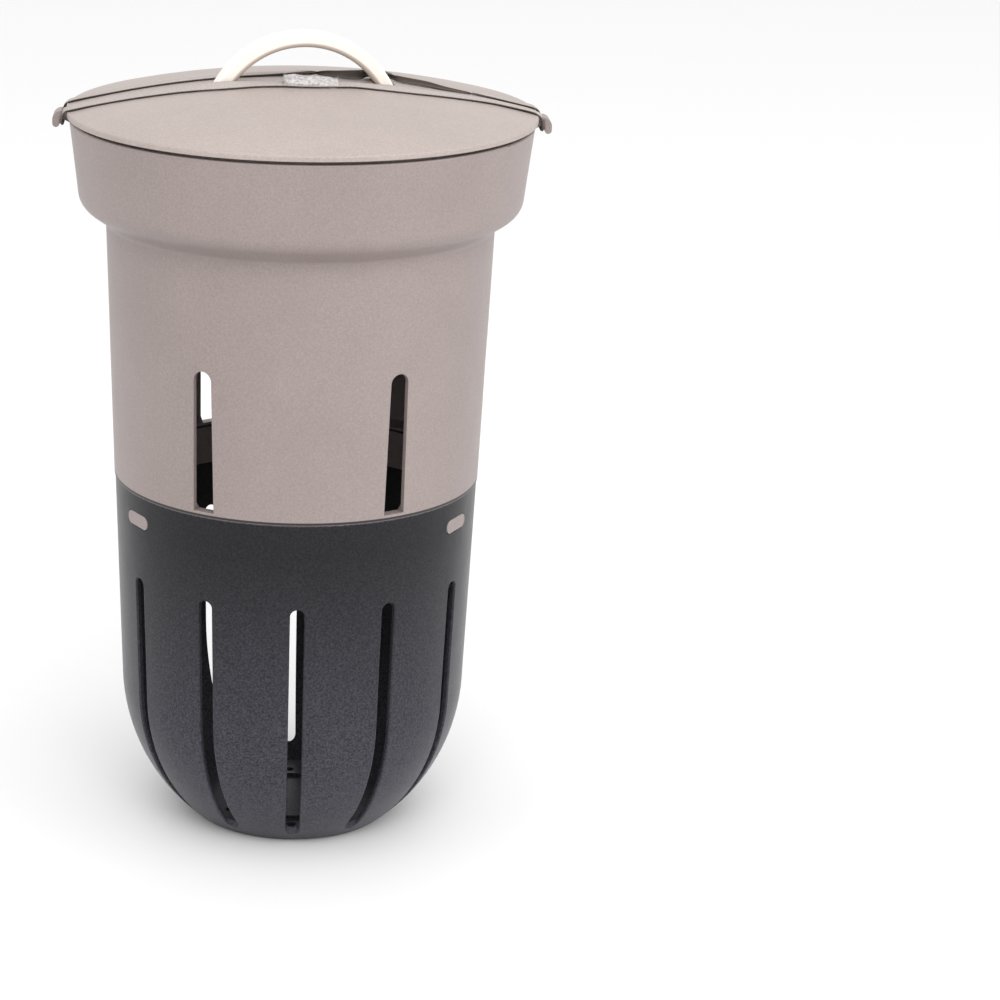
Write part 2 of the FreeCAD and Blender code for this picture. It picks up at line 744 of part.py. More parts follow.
def band_path(doc):
    """Sections of the front strand from the left hook to the right one, seen from above the lid."""
    width = value(doc, "band_width") / 2
    thick = value(doc, "band_thickness") / 2
    end_width = value(doc, "band_end_width") / 2
    end_thick = value(doc, "band_end_thickness") / 2
    gap = value(doc, "band_gap")
    lid_radius = value(doc, "lid_radius")
    dome = value(doc, "dome_radius")
    dome_z = value(doc, "dome_centre")
    end_height = value(doc, "band_end_height") / 2
    lip_top = value(doc, "lip_top")
    stem_under = value(doc, "rim_height + hook_rise - 1.3 * hook_thickness")
    beside = beside_hook(doc)
    end_x = lid_radius + gap + end_thick
    low = stem_under - gap - end_height
    flat_x = lid_radius - 8
    steps = 20
    sections = []
    for step in range(steps + 1):
        x = -flat_x + 2 * flat_x * step / steps
        y = strand_y(doc, x)
        flatness = math.exp(-strand_spread(doc, x) ** 2 / 4)
        full = end_width + (width - end_width) * flatness
        solid = end_thick + (thick - end_thick) * flatness
        normal = FreeCAD.Vector(x, y, math.sqrt(dome ** 2 - x ** 2 - y ** 2)).normalize()
        centre = normal * (dome + gap + solid) + FreeCAD.Vector(0, 0, dome_z)
        across = FreeCAD.Vector(0, 1, -normal.y / normal.z).normalize() * full
        sections.append((centre, across, normal * solid))
    edge = FreeCAD.Vector(0, end_width, 0)
    rounding = []
    over = lip_top + gap + end_thick
    ease = 0.3 * end_thick
    for x, z, angle in ((end_x - 2.5 * end_thick, over + ease, 90), (end_x - ease, over - ease, 45),
                        (end_x, lip_top - end_thick, 0)):
        through = FreeCAD.Vector(math.cos(math.radians(angle)), 0, math.sin(math.radians(angle)))
        rounding.append((FreeCAD.Vector(x, -beside, z), edge, through * end_thick))
    corner = (FreeCAD.Vector(end_x, -beside, low),
              FreeCAD.Vector(0, end_width, end_height), FreeCAD.Vector(end_thick, 0, 0))
    right = rounding + [corner]
    left = [(mirrored_x(c), mirrored_x(a), mirrored_x(t)) for c, a, t in reversed(right)]
    return left + sections + right


def mirrored_x(vector):
    return FreeCAD.Vector(-vector.x, vector.y, vector.z)


def turned_half(vector):
    """The same place half a turn further about the vertical axis."""
    return FreeCAD.Vector(-vector.x, -vector.y, vector.z)


def make_band(doc):
    """Flat elastic loop: two strands over the lid, its ends bunched under the hooks."""
    front = band_path(doc)
    back = [tuple(turned_half(vector) for vector in place) for place in front]
    strands = [Part.makeLoft([strap_section(*place) for place in path], True, True)
               for path in (front, back)]
    corner, across, through = front[-1]
    run = [corner + across, corner - across]
    run += [FreeCAD.Vector(spot.x, -spot.y, spot.z) for spot in reversed(run)]
    loop = Part.makePolygon([spot - through for spot in run + run[:1]])
    under = Part.Face(loop).extrude(through * 2)
    other = under.copy()
    other.rotate(FreeCAD.Vector(0, 0, 0), FreeCAD.Vector(0, 0, 1), 180)
    band = doc.addObject("Part::Feature", "elastic_band")
    band.Label = "elastic_band"
    band.Shape = strands[0].fuse([strands[1], under, other]).removeSplitter()
    band.Placement = FreeCAD.Placement()
    return band


def make_join(doc):
    """The sewn sleeve that covers the band's joined ends, on the middle of the front strand."""
    band = doc.getObject("elastic_band")
    length = value(doc, "join_length")
    width = value(doc, "join_width")
    thick = value(doc, "join_thickness")
    place = value(doc, "join_place")
    ends = [strand_y(doc, place - length / 2), strand_y(doc, place + length / 2)]
    middle = FreeCAD.Vector(place, sum(ends) / 4 + strand_y(doc, place) / 2, 0)
    turn = math.degrees(math.atan2(ends[1] - ends[0], length))
    top = value(doc, "lid_top + band_gap")
    corner = middle + FreeCAD.Vector(-length / 2, -width / 2, top - thick / 2)
    block = Part.makeBox(length, width, 1.5 * thick, corner)
    block.rotate(middle, FreeCAD.Vector(0, 0, 1), turn)
    dome = Part.makeSphere(value(doc, "dome_radius + band_gap"),
                           FreeCAD.Vector(0, 0, value(doc, "dome_centre")))
    sleeve = block.cut(dome)
    rounded = [edge for edge in sleeve.Edges if edge.BoundBox.ZMin > top + 0.9 * thick]
    sleeve = sleeve.makeFillet(0.6, rounded)
    join = doc.addObject("Part::Feature", "band_join")
    join.Label = "band_join"
    join.Shape = sleeve.cut(band.Shape)
    join.Placement = FreeCAD.Placement()
    return join


def check_document(doc):
    for item in doc.Objects:
        if {"Invalid", "Error"} & set(item.State):
            raise ValueError(item.Name + " failed: " + str(item.State))


def write_parts(pieces):
    os.makedirs("parts", exist_ok=True)
    for piece in pieces:
        shape = piece.Shape
        if shape.isNull() or not shape.isValid():
            raise ValueError(piece.Label + " has no valid shape")
        shape.exportStep(os.path.join("parts", piece.Label + ".step"))
        box = shape.BoundBox
        print("%-14s %d solid, %9.1f mm3, x %.1f..%.1f y %.1f..%.1f z %.1f..%.1f" % (
            piece.Label, len(shape.Solids), shape.Volume, box.XMin, box.XMax,
            box.YMin, box.YMax, box.ZMin, box.ZMax))


def main():
    doc = FreeCAD.newDocument("Wormery")
    make_sheet(doc)
    pieces = [make_basket(doc), make_upper_body(doc), make_lid(doc), make_handle(doc),
              make_screws(doc), make_band(doc)]
    pieces.append(make_join(doc))
    doc.recompute()
    check_document(doc)
    write_parts(pieces)


main()
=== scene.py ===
"""Wormery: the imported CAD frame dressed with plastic, wood grain, a woven band and its sewn join.

Run as a script. Sizes are metres, +Z is up and the photographed front faces -Y.
"""
import math
import bmesh
import bpy
from bpy.props import FloatProperty, FloatVectorProperty, IntProperty, PointerProperty
from mathutils import Matrix, Vector, noise


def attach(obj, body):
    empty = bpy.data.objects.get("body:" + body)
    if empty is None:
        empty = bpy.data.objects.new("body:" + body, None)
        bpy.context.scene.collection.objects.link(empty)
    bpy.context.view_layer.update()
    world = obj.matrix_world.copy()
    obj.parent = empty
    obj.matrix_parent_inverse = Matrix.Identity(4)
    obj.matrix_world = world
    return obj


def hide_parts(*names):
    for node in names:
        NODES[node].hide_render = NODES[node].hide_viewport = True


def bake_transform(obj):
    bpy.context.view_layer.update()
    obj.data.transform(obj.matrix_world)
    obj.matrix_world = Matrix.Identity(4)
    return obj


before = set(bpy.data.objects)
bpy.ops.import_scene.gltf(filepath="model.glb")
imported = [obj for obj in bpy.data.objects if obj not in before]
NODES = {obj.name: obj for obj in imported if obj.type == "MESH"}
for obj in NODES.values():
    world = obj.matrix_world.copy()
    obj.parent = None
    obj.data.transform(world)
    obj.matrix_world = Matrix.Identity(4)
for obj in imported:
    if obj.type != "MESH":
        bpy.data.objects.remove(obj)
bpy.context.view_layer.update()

bl_info = {
    "name": "Wormery",
    "version": (1, 0, 0),
    "blender": (4, 5, 0),
    "location": "View3D > Sidebar > Wormery",
    "description": "Dresses the wormery's solids and sets up its studio",
    "category": "Object",
}

MM = 0.001

# Where the band's two strands lie on the lid, in millimetres from left to right: x, then the
# near edge's y and its height over the lid, then the far edge's y and height.
FRONT_STRAND = (
    (-136, -21.8, 0.5, -10.6, 0.4),
    (-121, -21.9, 0.3, -10.5, 0.3),
    (-104, -23.0, 0.3, -11.6, 0.3),
    (-89, -23.8, 0.3, -12.4, 0.3),
    (-72, -24.2, 0.3, -12.9, 0.4),
    (-60, -25.2, 0.3, -14.6, 1.6),
    (-48, -26.2, 0.3, -15.6, 2.4),
    (-38, -25.8, 0.3, -15.1, 1.8),
    (-27, -24.6, 0.3, -13.4, 1.0),
    (-12, -25.0, 0.3, -13.6, 0.6),
    (-2, -26.6, 0.3, -15.2, 0.6),
    (9, -26.4, 0.3, -15.0, 0.6),
    (19, -24.4, 0.3, -13.0, 0.6),
    (30, -22.0, 0.3, -10.6, 0.5),
    (45, -23.0, 0.2, -11.6, 0.4),
    (66, -22.4, 0.2, -11.0, 0.3),
    (80, -19.6, 0.2, -8.2, 0.3),
    (98, -15.4, 0.3, -4.2, 0.3),
    (112, -12.0, 0.4, -1.2, 0.4),
    (128, -11.3, 0.6, -1.0, 0.6),
    (136, -11.2, 0.6, -2.2, 0.6),
)
# The back strand turns its reverse side up behind the handle's right foot and turns back further
# right. Its far edge lies in front of its near edge there.
BACK_STRAND = (
    (-136, 6.6, 0.6, 17.0, 0.4),
    (-121, 6.2, 0.4, 17.6, 0.3),
    (-100, 6.6, 0.3, 18.0, 0.3),
    (-78, 7.2, 0.3, 18.6, 0.3),
    (-54, 8.6, 0.3, 20.0, 0.3),
    (-37, 9.4, 0.3, 20.8, 0.3),
    (-22, 9.8, 0.5, 21.2, 0.3),
    (-9, 10.4, 1.2, 20.5, 0.4),
    (-1, 11.1, 1.9, 16.8, 0.5),
    (6, 11.9, 2.6, 13.2, 0.9),
    (13, 12.7, 3.2, 8.8, 1.4),
    (20, 13.4, 3.8, 5.0, 1.5),
    (27, 14.2, 4.4, 3.0, 1.5),
    (32, 14.7, 4.8, 2.6, 1.5),
    (35.5, 15.1, 5.1, 6.0, 1.4),
    (37.7, 15.6, 5.3, 13.0, 1.0),
    (39.6, 15.9, 5.4, 16.8, 0.6),
    (46, 16.1, 5.0, 17.6, 0.4),
    (51.5, 16.0, 4.2, 17.0, 0.5),
    (54.5, 15.4, 3.5, 13.0, 0.8),
    (58, 14.8, 3.2, 8.6, 1.3),
    (64, 13.6, 3.0, 6.6, 1.4),
    (74, 11.6, 2.6, 5.4, 1.3),
    (84, 10.0, 1.3, 4.4, 1.1),
    (92, 9.2, 0.8, 5.6, 0.9),
    (99, 8.6, 0.7, 8.0, 0.4),
    (106, 8.1, 0.6, 12.0, 0.3),
    (115, 7.6, 0.4, 17.2, 0.3),
    (130, 7.0, 0.4, 17.8, 0.4),
    (136, 7.1, 0.5, 17.6, 0.5),
)
# Where the body stands on the basket's rim, in metres. The plastics have painted shade in the
# gap over a painted highlight on the rim's edge there: how many times as light as its plastic
# each line is, and how far from its middle it starts to fade and has faded.
JOINT_HEIGHT = 0.220
PAINTED_RIM_HIGHLIGHT = 6.0
PAINTED_GAP_SHADE = 0.04
LINE_CORE = 0.6 * MM
LINE_REACH = 0.9 * MM
# The heights between which the plastic's lightening near the ground fades out, in metres.
LIGHTER_LOW_HEIGHTS = (0.03, 0.20)
# The handle's arch: the height of its centre in metres, its inner radius and how far it is turned.
# Its faces carry painted shade at their inner edge: how far from there it starts to fade and has
# faded.
ARCH_CENTRE = 0.4288
ARCH_INNER = 0.0514
ARCH_TURN = math.radians(8)
EDGE_CORE = 2 * MM
EDGE_REACH = 3.4 * MM
# The floor reaches this far each way, and lies this far below the basket's underside so that the
# two faces don't coincide.
FLOOR_REACH = 6.0
FLOOR_DROP = 0.2 * MM
# How each strand passes a hook, from the lid's edge down to the run under the hook: the radius,
# then the outer edge's y and z and the inner edge's y and z; y is a distance from the hook.
PAST_HOOK = (
    (139.8, 18.4, 442.2, 7.3, 442.4),
    (140.9, 17.6, 440.5, 7.5, 440.7),
    (141.4, 16.4, 437.8, 7.6, 438.2),
    (141.6, 14.6, 435.4, 7.7, 436.6),
    (141.5, 11.0, 433.4, 7.6, 435.2),
    (141.3, 7.0, 433.0, 5.6, 435.2),
)
# The front strand is bunched to this share of its width where it passes the right hook.
RIGHT_FRONT_SPREAD = 0.45
# Beside the hooks the gathered web gets painted shade: from this height down, fully after this
# depth, and then by this share of the reverse side's painted shade.
GATHER_HEIGHT = 0.4426
GATHER_DEPTH = 1.8 * MM
HOOK_SHADE_SHARE = 0.85
# How far from the web's middle the painted shade along its edges begins, and from where it is full.
WEB_EDGE_SHADE_REACH = (5.35 * MM, 5.6 * MM)
# The colour sockets of a mix node, whose names it also gives to its sockets of other kinds.
MIX_SHARE, MIX_FIRST, MIX_SECOND, MIX_RESULT = 0, 6, 7, 2


# Sizes and colours that a user would change

def colour_property(name, description, default):
    """A colour with its name and use."""
    return FloatVectorProperty(name=name, description=description, subtype="COLOR", size=3,
                               default=default, min=0, max=1)


class WormeryFinish(bpy.types.PropertyGroup):
    """Colours and roughness of the moulded, wooden and woven pieces."""
    basket_colour: colour_property(
        "Basket colour", "Colour of the lower basket's plastic", (0.0069, 0.0066, 0.0084))
    body_colour: colour_property(
        "Body colour", "Colour of the upper body's plastic", (0.222, 0.181, 0.172))
    lid_colour: colour_property(
        "Lid colour", "Colour of the lid's plastic", (0.305, 0.255, 0.235))
    wood_colour: colour_property(
        "Wood colour", "Colour of the pale wood between its grain lines", (0.745, 0.705, 0.66))
    grain_colour: colour_property(
        "Grain colour", "Colour of the wood's grain lines", (0.69, 0.61, 0.52))
    # Painted shade on the handle's inner rounded edge.
    painted_wood_edge_shade: colour_property(
        "Edge colour", "Colour of the wood's darker inner edge", (0.42, 0.345, 0.29))
    steel_colour: colour_property(
        "Screw colour", "Colour of the screws' plating", (0.60, 0.60, 0.60))
    web_colour: colour_property(
        "Band colour", "Colour of the band's raised threads", (0.40, 0.355, 0.335))
    web_shade: colour_property(
        "Band shade", "Colour between the band's threads", (0.17, 0.145, 0.13))
    # Painted shade on the band's reverse side, also used beside the hooks.
    reverse_shade_colour: colour_property(
        "Band reverse", "Colour of the band's dark reverse side", (0.052, 0.040, 0.032))
    # Painted shade along the band's edges.
    web_edge_shade_colour: colour_property(
        "Selvedge colour", "Colour of the band's dark edges", (0.065, 0.055, 0.05))
    join_colour: colour_property(
        "Join colour", "Colour of the sewn join's pale fibres", (0.49, 0.465, 0.455))
    plastic_roughness: FloatProperty(
        name="Plastic roughness", description="Roughness of the moulded plastic",
        subtype="FACTOR", default=0.42, min=0, max=1)


class WormeryBand(bpy.types.PropertyGroup):
    """Sizes of the elastic band and of its sewn join."""
    width: FloatProperty(
        name="Web width", description="Width of the band where it lies flat",
        unit="LENGTH", default=11.4 * MM, min=MM)
    thickness: FloatProperty(
        name="Web thickness", description="Thickness of the band",
        unit="LENGTH", default=1.1 * MM, min=0.2 * MM)
    fold_depth: FloatProperty(
        name="Fold depth", description="How deep the band's folds are where it bunches at a hook",
        unit="LENGTH", default=0.7 * MM, min=0)
    steps: IntProperty(
        name="Steps", description="Sections along the whole loop", default=460, min=60)
    join_place: FloatProperty(
        name="Join place", description="Where the middle of the join lies, to the right",
        unit="LENGTH", default=3.8 * MM)
    join_length: FloatProperty(
        name="Join length", description="Length of the sewn join",
        unit="LENGTH", default=32.0 * MM, min=MM)
    join_width: FloatProperty(
        name="Join width", description="Width of the sewn join",
        unit="LENGTH", default=13.0 * MM, min=MM)
    join_thickness: FloatProperty(
        name="Join thickness", description="Thickness of the sewn join",
        unit="LENGTH", default=3.4 * MM, min=MM)
    fibres: IntProperty(
        name="Fibres", description="Loose fibres on the join", default=260, min=0)


class WormeryStage(bpy.types.PropertyGroup):
    """The camera and the studio's light."""
    camera_place: FloatVectorProperty(
        name="Camera place", description="Where the camera stands",
        subtype="TRANSLATION", unit="LENGTH", size=3, default=(-0.0377, -1.7996, 0.7791))
    heading: FloatProperty(
        name="Heading", description="How far to the right of +Y the camera looks",
        subtype="ANGLE", unit="ROTATION", default=math.radians(1.288))
    pitch: FloatProperty(
        name="Pitch", description="How far below the horizon the camera looks",
        subtype="ANGLE", unit="ROTATION", default=math.radians(17.826))
    roll: FloatProperty(
        name="Roll", description="How far the camera leans to its left",
        subtype="ANGLE", unit="ROTATION", default=math.radians(1.059))
    lens: FloatProperty(
        name="Lens", description="Focal length on a 36 mm sensor, in millimetres",
        default=110.73, min=10, max=400)
    shift: FloatProperty(
        name="Shift", description="Sideways lens shift, as a share of the picture's width",
        default=0.2, min=-1, max=1)
    sky: FloatProperty(
        name="Sky", description="Strength of the white surroundings",
        default=1.0, min=0, max=10)
    top_strength: FloatProperty(
        name="Top light", description="Strength of the wide soft light from above",
        default=0.8, min=0)
    left_power: FloatProperty(
        name="Left power", description="Power of the large panel on the left",
        subtype="POWER", unit="POWER", default=14, min=0)
    right_power: FloatProperty(
        name="Right power", description="Power of the large panel on the right",
        subtype="POWER", unit="POWER", default=32, min=0)
    front_power: FloatProperty(
        name="Front power", description="Power of the large panel high in front",
        subtype="POWER", unit="POWER", default=60, min=0)
    floor_colour: colour_property("Floor colour", "Colour of the floor", (0.70, 0.70, 0.70))


# Helpers

def new_object(name, bm):
    """A finished mesh as an object in the scene."""
    mesh = bpy.data.meshes.new(name)
    bm.to_mesh(mesh)
    bm.free()
    obj = bpy.data.objects.new(name, mesh)
    bpy.context.scene.collection.objects.link(obj)
    return obj


def smooth(bm):
    """Turn all faces outwards and shade them smooth."""
    bmesh.ops.recalc_face_normals(bm, faces=bm.faces)
    for face in bm.faces:
        face.smooth = True


def node_tree(name):
    """A new material, its node tree and its shader."""
    material = bpy.data.materials.new(name)
    material.use_nodes = True
    tree = material.node_tree
    shader = tree.nodes["Principled BSDF"]
    return material, tree, shader


def add(tree, kind, **values):
    """A node whose inputs and settings are given by name."""
    node = tree.nodes.new(kind)
    for key, value in values.items():
        if key in node.inputs:
            node.inputs[key].default_value = value
        else:
            setattr(node, key, value)
    return node


def feed(tree, value, socket):
    """Link an output to a socket, or set the socket to a fixed value."""
    if isinstance(value, bpy.types.NodeSocket):
        tree.links.new(value, socket)
    else:
        socket.default_value = value


def calculate(tree, operation, *values, kind="ShaderNodeMath", output="Value"):
    """The result of a math node on outputs and fixed values."""
    node = add(tree, kind, operation=operation)
    for value, socket in zip(values, node.inputs):
        feed(tree, value, socket)
    return node.outputs[output]


def multiply(tree, first, second):
    """Two colours or places multiplied part by part."""
    return calculate(tree, "MULTIPLY", first, second, kind="ShaderNodeVectorMath",
                     output="Vector")


def object_coordinates(tree):
    """The place on the object, in metres."""
    return tree.nodes.new("ShaderNodeTexCoord").outputs["Object"]


def component(tree, place, axis):
    """A place's X, Y or Z."""
    node = tree.nodes.new("ShaderNodeSeparateXYZ")
    tree.links.new(place, node.inputs["Vector"])
    return node.outputs[axis]


def texture(tree, kind, place, **values):
    """How strong a texture is at a place."""
    node = add(tree, kind, **values)
    tree.links.new(place, node.inputs["Vector"])
    return node.outputs["Fac"]


def ramp(tree, value, low, high, from_min, from_max):
    """A colour that goes from low to high as a value goes from from_min to from_max."""
    node = tree.nodes.new("ShaderNodeValToRGB")
    node.color_ramp.elements[0].position = from_min
    node.color_ramp.elements[0].color = (*low, 1)
    node.color_ramp.elements[1].position = from_max
    node.color_ramp.elements[1].color = (*high, 1)
    tree.links.new(value, node.inputs["Fac"])
    return node.outputs["Color"]


def map_range(tree, value, from_min=0.0, from_max=1.0, to_min=0.0, to_max=1.0):
    """A value carried over from one range to another and kept within it."""
    node = tree.nodes.new("ShaderNodeMapRange")
    for name, number in (("From Min", from_min), ("From Max", from_max),
                         ("To Min", to_min), ("To Max", to_max)):
        node.inputs[name].default_value = number
    tree.links.new(value, node.inputs["Value"])
    return node.outputs["Result"]


def mix(tree, share, first, second):
    """The first colour with a share of the second."""
    node = add(tree, "ShaderNodeMix", data_type="RGBA")
    for value, socket in ((share, MIX_SHARE), (first, MIX_FIRST), (second, MIX_SECOND)):
        feed(tree, value, node.inputs[socket])
    return node.outputs[MIX_RESULT]


def bumps(tree, shader, pattern, strength, distance):
    """Raise the shader's surface by a pattern."""
    node = add(tree, "ShaderNodeBump", Strength=strength, Distance=distance)
    tree.links.new(pattern, node.inputs["Height"])
    tree.links.new(node.outputs["Normal"], shader.inputs["Normal"])


def shade(colour, factor):
    """A colour made lighter or darker."""
    return tuple(min(1.0, channel * factor) for channel in colour)


def thin_line(tree, height, middle, factor):
    """A factor of 1 except in a thin line round the middle height."""
    away = calculate(tree, "SUBTRACT", height, middle)
    distance = calculate(tree, "ABSOLUTE", away)
    return map_range(tree, distance, LINE_REACH, LINE_CORE, 1.0, factor)


def moulded_plastic(name, colour, roughness, reflection=0.5, speckle=1.15, low_lightening=1.0,
                    line=(0.0, 1.0)):
    """Satin moulded plastic: a fine grain, faint cloudiness and slight wear in its gloss.

    Speckle is how light its flecks are; the plastic is made lighter near the ground by a given
    factor.
    Line is a height and a factor for a thin line there, painted lighter as a highlight or darker as
    shade.
    """
    material, tree, shader = node_tree(name)
    place = object_coordinates(tree)
    height = component(tree, place, "Z")
    clouds = texture(tree, "ShaderNodeTexNoise", place, Scale=14.0, Detail=3.0, Roughness=0.5)
    flecks = texture(tree, "ShaderNodeTexNoise", place, Scale=800.0, Detail=3.0, Roughness=0.75)
    scuffs = texture(tree, "ShaderNodeTexNoise", place, Scale=60.0, Detail=6.0, Roughness=0.7)
    grain = texture(tree, "ShaderNodeTexNoise", place, Scale=1400.0, Detail=2.0, Roughness=0.6)
    tint = ramp(tree, clouds, shade(colour, 0.95), shade(colour, 1.05), 0.3, 0.7)
    dimmest = 2 - speckle ** 0.5
    specks = ramp(tree, flecks, (dimmest,) * 3, (speckle,) * 3, 0.38, 0.66)
    # Lighter towards the ground.
    lighter_low = ramp(tree, height, (low_lightening,) * 3, (1.0,) * 3, *LIGHTER_LOW_HEIGHTS)
    for factor in (specks, lighter_low, thin_line(tree, height, *line)):
        tint = multiply(tree, tint, factor)
    tree.links.new(tint, shader.inputs["Base Color"])
    shader.inputs["Specular IOR Level"].default_value = reflection
    gloss = map_range(tree, scuffs, to_min=roughness - 0.05, to_max=roughness + 0.07)
    tree.links.new(gloss, shader.inputs["Roughness"])
    bumps(tree, shader, grain, 0.12, 0.2 * MM)
    return material


def finish_node(name, material):
    """Give a CAD node its finish."""
    mesh = NODES[name].data
    mesh.materials.clear()
    mesh.materials.append(material)


def softbox(name, power, place, target, width, height):
    """A rectangular studio light that faces a target."""
    light = bpy.data.lights.new(name, "AREA")
    light.shape = "RECTANGLE"
    light.size = width
    light.size_y = height
    light.energy = power
    obj = bpy.data.objects.new(name, light)
    obj.location = place
    direction = Vector(target) - obj.location
    obj.rotation_euler = direction.to_track_quat("-Z", "Y").to_euler()
    bpy.context.scene.collection.objects.link(obj)


class WORMERY_OT_stage(bpy.types.Operator):
    """Floor, soft studio light and the camera at the photograph's angle"""
    bl_idname = "wormery.stage"
    bl_label = "Studio"

    def execute(self, context):
        stage = context.scene.wormery_stage
        self.make_floor(stage)
        self.make_sky(context, stage)
        self.make_top_light(context, stage)
        softbox("left_panel", stage.left_power, place=(-2.3, -1.1, 1.2), target=(0, 0, 0.3),
                width=2.6, height=2.3)
        softbox("front_panel", stage.front_power, place=(0.2, -2.6, 2.6), target=(0, 0, 0.2),
                width=2.4, height=1.6)
        softbox("right_panel", stage.right_power, place=(2.3, -1.1, 1.2), target=(0, 0, 0.3),
                width=2.6, height=2.3)
        self.make_camera(context, stage)
        context.scene.view_settings.view_transform = "Standard"
        return {"FINISHED"}

    def make_floor(self, stage):
        """A wide pale floor just below the basket."""
        bm = bmesh.new()
        bmesh.ops.create_grid(bm, x_segments=1, y_segments=1, size=FLOOR_REACH)
        bmesh.ops.translate(bm, verts=bm.verts, vec=(0, 0, -FLOOR_DROP))
        floor = new_object("floor", bm)
        material, _, shader = node_tree("pale_floor")
        shader.inputs["Base Color"].default_value = (*stage.floor_colour, 1)
        shader.inputs["Roughness"].default_value = 0.6
        floor.data.materials.append(material)

    def make_sky(self, context, stage):
        """White surroundings."""
        world = bpy.data.worlds.new("white_room")
        world.use_nodes = True
        background = world.node_tree.nodes["Background"]
        background.inputs["Color"].default_value = (1, 1, 1, 1)
        background.inputs["Strength"].default_value = stage.sky
        context.scene.world = world

    def make_top_light(self, context, stage):
        """A wide, even light from overhead."""
        light = bpy.data.lights.new("top_light", "SUN")
        light.energy = stage.top_strength
        light.angle = math.radians(100)
        obj = bpy.data.objects.new("top_light", light)
        obj.location = (0, 0, 2)
        context.scene.collection.objects.link(obj)

    def make_camera(self, context, stage):
        """The camera, turned to its heading, tilted by its pitch and leant by its roll."""
        data = bpy.data.cameras.new("camera")
        data.sensor_width = 36.0
        data.lens = stage.lens
        data.shift_x = stage.shift
        data.clip_end = 50.0
        camera = bpy.data.objects.new("camera", data)
        camera.location = stage.camera_place
        turn = Matrix.Rotation(-stage.heading, 3, "Z")
        tilt = Matrix.Rotation(math.pi / 2 - stage.pitch, 3, "X")
        lean = Matrix.Rotation(stage.roll, 3, "Z")
        camera.rotation_euler = (turn @ tilt @ lean).to_euler()
        context.scene.collection.objects.link(camera)
        context.scene.camera = camera


class WORMERY_OT_basket(bpy.types.Operator):
    """The anthracite basket's finish"""
    bl_idname = "wormery.basket"
    bl_label = "Lower basket"

    def execute(self, context):
        finish = context.scene.wormery_finish
        # Painted highlight along the rim's top edge at the joint.
        finish_node("lower_basket", moulded_plastic(
            "anthracite_plastic", finish.basket_colour, finish.plastic_roughness - 0.10,
            reflection=0.22, speckle=2.1, low_lightening=4.8, line=(JOINT_HEIGHT, PAINTED_RIM_HIGHLIGHT)))
        return {"FINISHED"}


class WORMERY_OT_body(bpy.types.Operator):
    """The taupe body's finish"""
    bl_idname = "wormery.upper_body"
    bl_label = "Upper body"

    def execute(self, context):
        finish = context.scene.wormery_finish
        # Painted shade in the gap just above the joint.
        finish_node("upper_body", moulded_plastic(
            "taupe_plastic", finish.body_colour, finish.plastic_roughness,
            line=(JOINT_HEIGHT + LINE_REACH, PAINTED_GAP_SHADE)))
        return {"FINISHED"}


class WORMERY_OT_lid(bpy.types.Operator):
    """The lid's finish"""
    bl_idname = "wormery.lid"
    bl_label = "Lid"

    def execute(self, context):
        finish = context.scene.wormery_finish
        finish_node("lid", moulded_plastic(
            "lid_plastic", finish.lid_colour, finish.plastic_roughness))
        return {"FINISHED"}


class WORMERY_OT_handle(bpy.types.Operator):
    """The bent wooden handle and its screws"""
    bl_idname = "wormery.handle"
    bl_label = "Handle"

    def execute(self, context):
        finish = context.scene.wormery_finish
        finish_node("handle", self.bent_wood(finish))
        steel, _, shader = node_tree("screw_steel")
        shader.inputs["Base Color"].default_value = (*finish.steel_colour, 1)
        shader.inputs["Metallic"].default_value = 1.0
        shader.inputs["Roughness"].default_value = 0.35
        finish_node("handle_screws", steel)
        return {"FINISHED"}

    def bent_wood(self, finish):
        """Pale wood whose grain runs along the arch, with painted shade at its inner edge."""
        material, tree, shader = node_tree("light_wood")
        arch = add(tree, "ShaderNodeMapping", Location=(0, 0, -ARCH_CENTRE),
                   Rotation=(0, 0, -ARCH_TURN))
        tree.links.new(object_coordinates(tree), arch.inputs["Vector"])
        place = arch.outputs["Vector"]
        rings = texture(tree, "ShaderNodeTexWave", place, Scale=230.0, Distortion=2.5, Detail=3.0,
                        wave_type="RINGS", rings_direction="Y", **{"Detail Scale": 0.12})
        fibres = texture(tree, "ShaderNodeTexNoise", place, Scale=260.0, Detail=4.0, Roughness=0.6)
        grain = calculate(tree, "MULTIPLY", rings, fibres)
        tint = ramp(tree, grain, finish.wood_colour, finish.grain_colour, 0.15, 0.7)
        # Painted shade along the inner edge of the arch's faces.
        tint = mix(tree, self.wood_edge_shade_mask(tree, place), tint, (*finish.painted_wood_edge_shade, 1))
        tree.links.new(tint, shader.inputs["Base Color"])
        shader.inputs["Roughness"].default_value = 0.5
        bumps(tree, shader, grain, 0.15, 0.2 * MM)
        return material

    def wood_edge_shade_mask(self, tree, place):
        """How much painted shade a place on the arch's faces gets near the inner edge."""
        flat = multiply(tree, place, (1, 0, 1))
        radius = calculate(tree, "LENGTH", flat, kind="ShaderNodeVectorMath")
        return map_range(tree, radius, ARCH_INNER + EDGE_REACH, ARCH_INNER + EDGE_CORE, to_max=0.9)


def lid_dome():
    """The height of the dome's centre and its radius, from two heights on the CAD lid."""
    down = Vector((0, 0, -1))
    reach = 0.12
    top = NODES["lid"].ray_cast(Vector((0, 0, 1)), down)[1].z
    low = NODES["lid"].ray_cast(Vector((0, -reach, 1)), down)[1].z
    sag = top - low
    radius = (reach ** 2 + sag ** 2) / (2 * sag)
    return top - radius, radius


def on_lid(dome, x, y, height):
    """The place at a height over the lid's dome; the inputs are millimetres."""
    centre, radius = dome
    flat = (x * MM) ** 2 + (y * MM) ** 2
    return Vector((x * MM, y * MM, centre + math.sqrt(radius ** 2 - flat) + height * MM))


def strand_places(dome, strand):
    """The near and far edge of a strand, from left to right."""
    return [(on_lid(dome, x, near, near_height), on_lid(dome, x, far, far_height))
            for x, near, near_height, far, far_height in strand]


